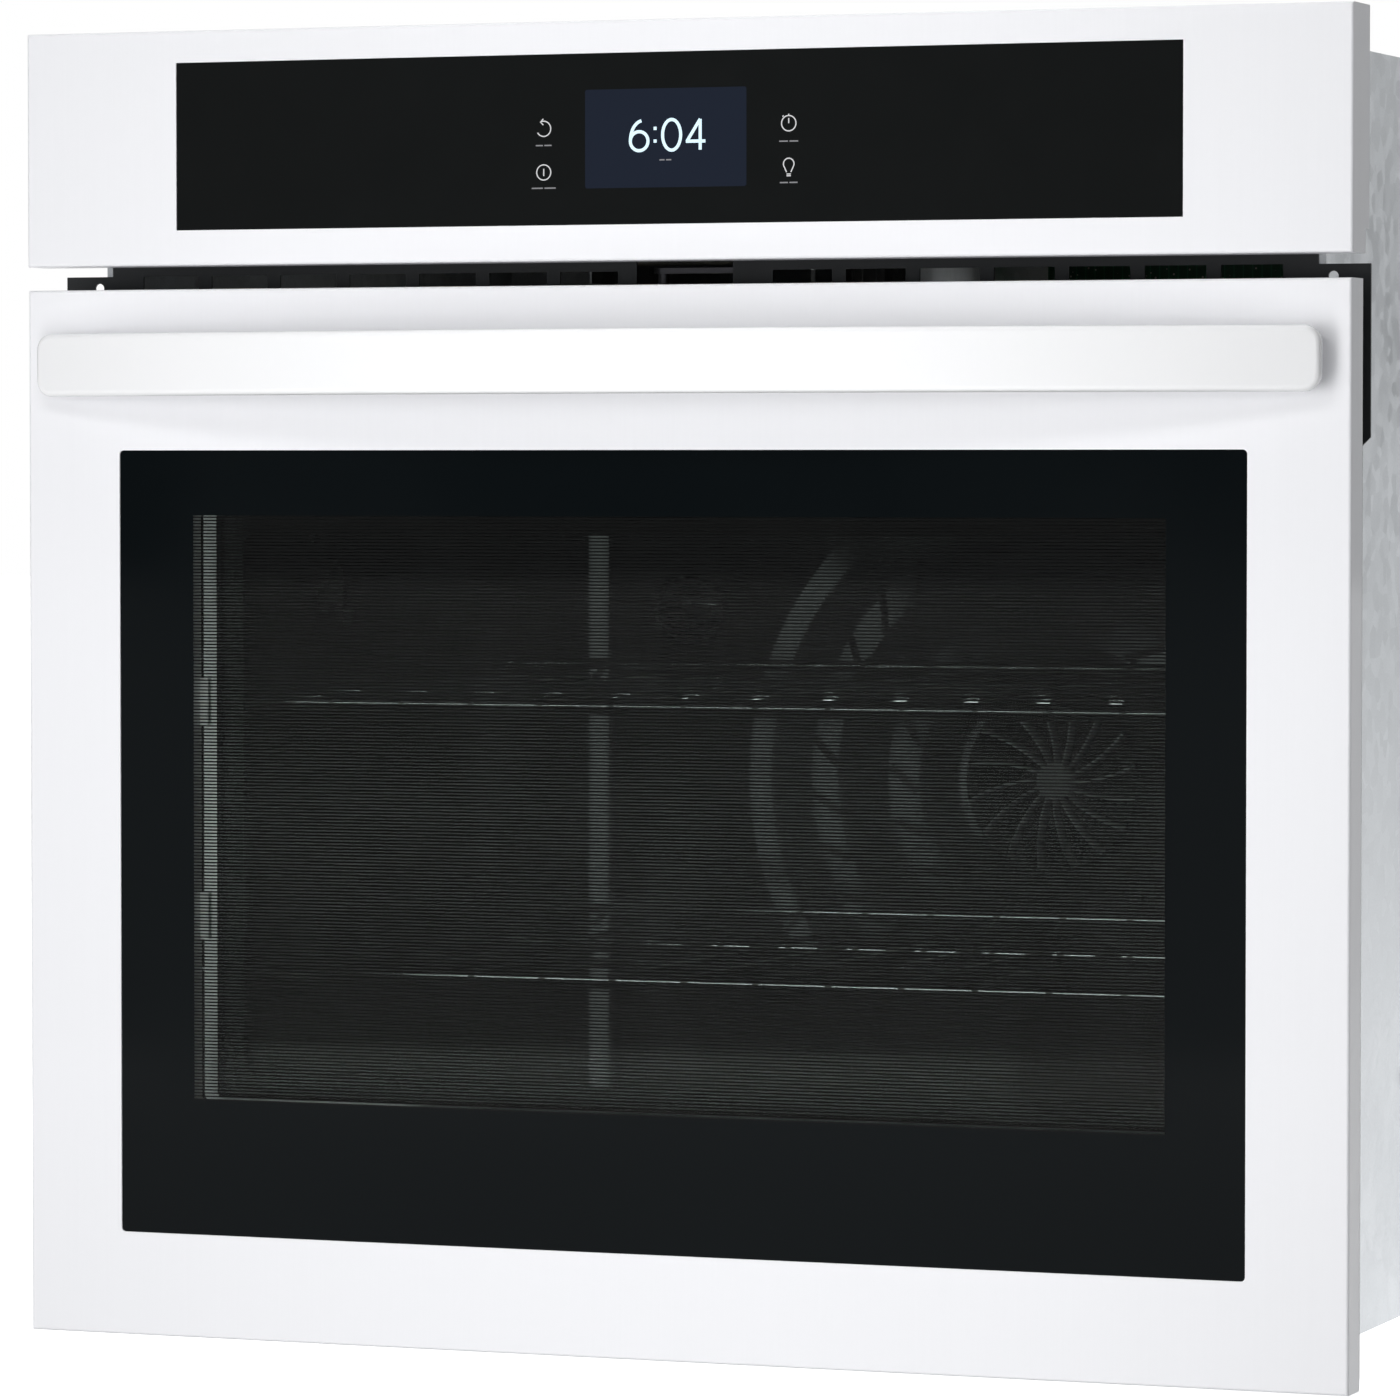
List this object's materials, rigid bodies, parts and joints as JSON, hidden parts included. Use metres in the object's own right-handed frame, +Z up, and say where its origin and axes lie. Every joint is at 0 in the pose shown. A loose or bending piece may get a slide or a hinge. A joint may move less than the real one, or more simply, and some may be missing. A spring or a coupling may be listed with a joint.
{
  "type": "built-in wall oven",
  "caption": "White built-in electric wall oven: touch-glass control panel, drop-down glass door with a bowed strap handle, wire racks and a convection fan.",
  "frame": {"origin": "centre of the base pan's flat underside, where the oven rests on the cabinet shelf", "axes": "+X to the right seen from the front, +Y into the cabinet, +Z up"},
  "size_m": [0.762, 0.706, 0.7227],
  "materials": {
    "white_paint": "gloss white baked enamel with a faint brushed grain",
    "black_paint": "satin black baked enamel",
    "cavity_enamel": "speckled dark porcelain enamel",
    "galvanised": "galvanised sheet steel with faint spangle",
    "bright_steel": "bright zinc-plated steel",
    "chrome_wire": "nickel-chrome plated wire",
    "handle_white": "white enamelled aluminium strap",
    "printed_glass": "gloss black printed tempered glass with a lined window",
    "control_glass": "gloss black touch glass",
    "clear_glass": "clear tempered glass",
    "glass_wool": "matt glass wool",
    "gasket_braid": "woven glass-fibre braid",
    "circuit_board": "green solder mask",
    "moulded_black": "black moulded plastic",
    "ceramic": "white steatite ceramic",
    "fan_aluminium": "stamped aluminium",
    "element_sheath": "dark oxidised heater sheath",
    "motor_iron": "lacquered motor lamination"
  },
  "bodies": {
    "oven_body": {"front_frame": "black_paint", "left_side_panel": "galvanised", "right_side_panel": "galvanised", "top_cover": "galvanised", "base_pan": "galvanised", "rear_cover": "galvanised", "insulation": "glass_wool", "cavity_left_wall": "cavity_enamel", "cavity_right_wall": "cavity_enamel", "cavity_roof": "cavity_enamel", "cavity_floor": "cavity_enamel", "cavity_back": "cavity_enamel", "fan_cover": "cavity_enamel", "convection_motor": "motor_iron", "broil_element": "element_sheath", "bake_element": "element_sheath", "lamp_socket": "ceramic", "lamp_bulb": "clear_glass", "lamp_lens": "clear_glass", "temperature_probe": "bright_steel", "thermal_cutout": "ceramic", "door_gasket": "gasket_braid", "control_panel": "white_paint", "control_glass": "control_glass", "display_board": "circuit_board", "control_carrier": "moulded_black", "relay_board": "circuit_board", "cooling_duct": "galvanised", "blower_housing": "galvanised", "blower_motor": "motor_iron", "latch_bracket": "bright_steel", "latch_motor": "moulded_black", "door_switch": "moulded_black", "terminal_block": "moulded_black", "conduit_gland": "bright_steel", "hinge_receivers": "bright_steel", "body_screws": "bright_steel", "hinge_arm_left": "bright_steel", "hinge_arm_right": "bright_steel"},
    "door": {"door_skin": "white_paint", "door_outer_glass": "printed_glass", "door_middle_glass": "clear_glass", "door_inner_glass": "clear_glass", "glass_frame": "bright_steel", "door_liner": "black_paint", "door_insulation": "glass_wool", "hinge_channel_left": "bright_steel", "hinge_channel_right": "bright_steel", "hinge_pins": "bright_steel", "hinge_springs": "bright_steel", "door_handle": "handle_white", "handle_mounts": "handle_white", "door_screws": "bright_steel"},
    "upper_rack": {"upper_rack": "chrome_wire"},
    "lower_rack": {"lower_rack": "chrome_wire"},
    "convection_fan": {"convection_fan": "fan_aluminium"},
    "cooling_impeller": {"cooling_impeller": "fan_aluminium"},
    "latch_hook": {"latch_hook": "bright_steel"},
    "switch_plunger": {"switch_plunger": "moulded_black"},
    "spring_rods": {"spring_rods": "bright_steel"}
  },
  "joints": [
    {"name": "door_hinge", "type": "hinge", "parent": "oven_body", "child": "door", "pos_m": [0, -0.315, -0.001], "axis": [1, 0, 0], "range_deg": [0, 90], "stiffness_Nm_per_rad": 15, "springref_deg": -20.05},
    {"name": "upper_rack_slide", "type": "slide", "parent": "oven_body", "child": "upper_rack", "axis": [0, -1, 0], "range_m": [0, 0.03]},
    {"name": "lower_rack_slide", "type": "slide", "parent": "oven_body", "child": "lower_rack", "axis": [0, -1, 0], "range_m": [0, 0.03]},
    {"name": "convection_fan_spin", "type": "hinge", "parent": "oven_body", "child": "convection_fan", "pos_m": [0.05, 0.19, 0.2745], "axis": [0, 1, 0], "continuous": true},
    {"name": "cooling_impeller_spin", "type": "hinge", "parent": "oven_body", "child": "cooling_impeller", "pos_m": [0, 0.129, 0.585], "axis": [0, 0, 1], "continuous": true},
    {"name": "latch_swing", "type": "hinge", "parent": "oven_body", "child": "latch_hook", "pos_m": [0.026, -0.277, 0.572], "axis": [0, 0, 1], "range_deg": [0, 45]},
    {"name": "plunger_slide", "type": "slide", "parent": "oven_body", "child": "switch_plunger", "axis": [0, -1, 0], "range_m": [0, 0.006]},
    {"name": "spring_rod_slide", "type": "slide", "parent": "door", "child": "spring_rods", "axis": [0, 0, -1], "range_m": [0, 0.0165], "deforming": ["hinge_springs"]}
  ],
  "couplings": [
    {"joint": "plunger_slide", "follows": "door_hinge", "m_per_rad": 0.0038},
    {"joint": "spring_rod_slide", "follows": "door_hinge", "m_per_rad": 0.0102}
  ]
}
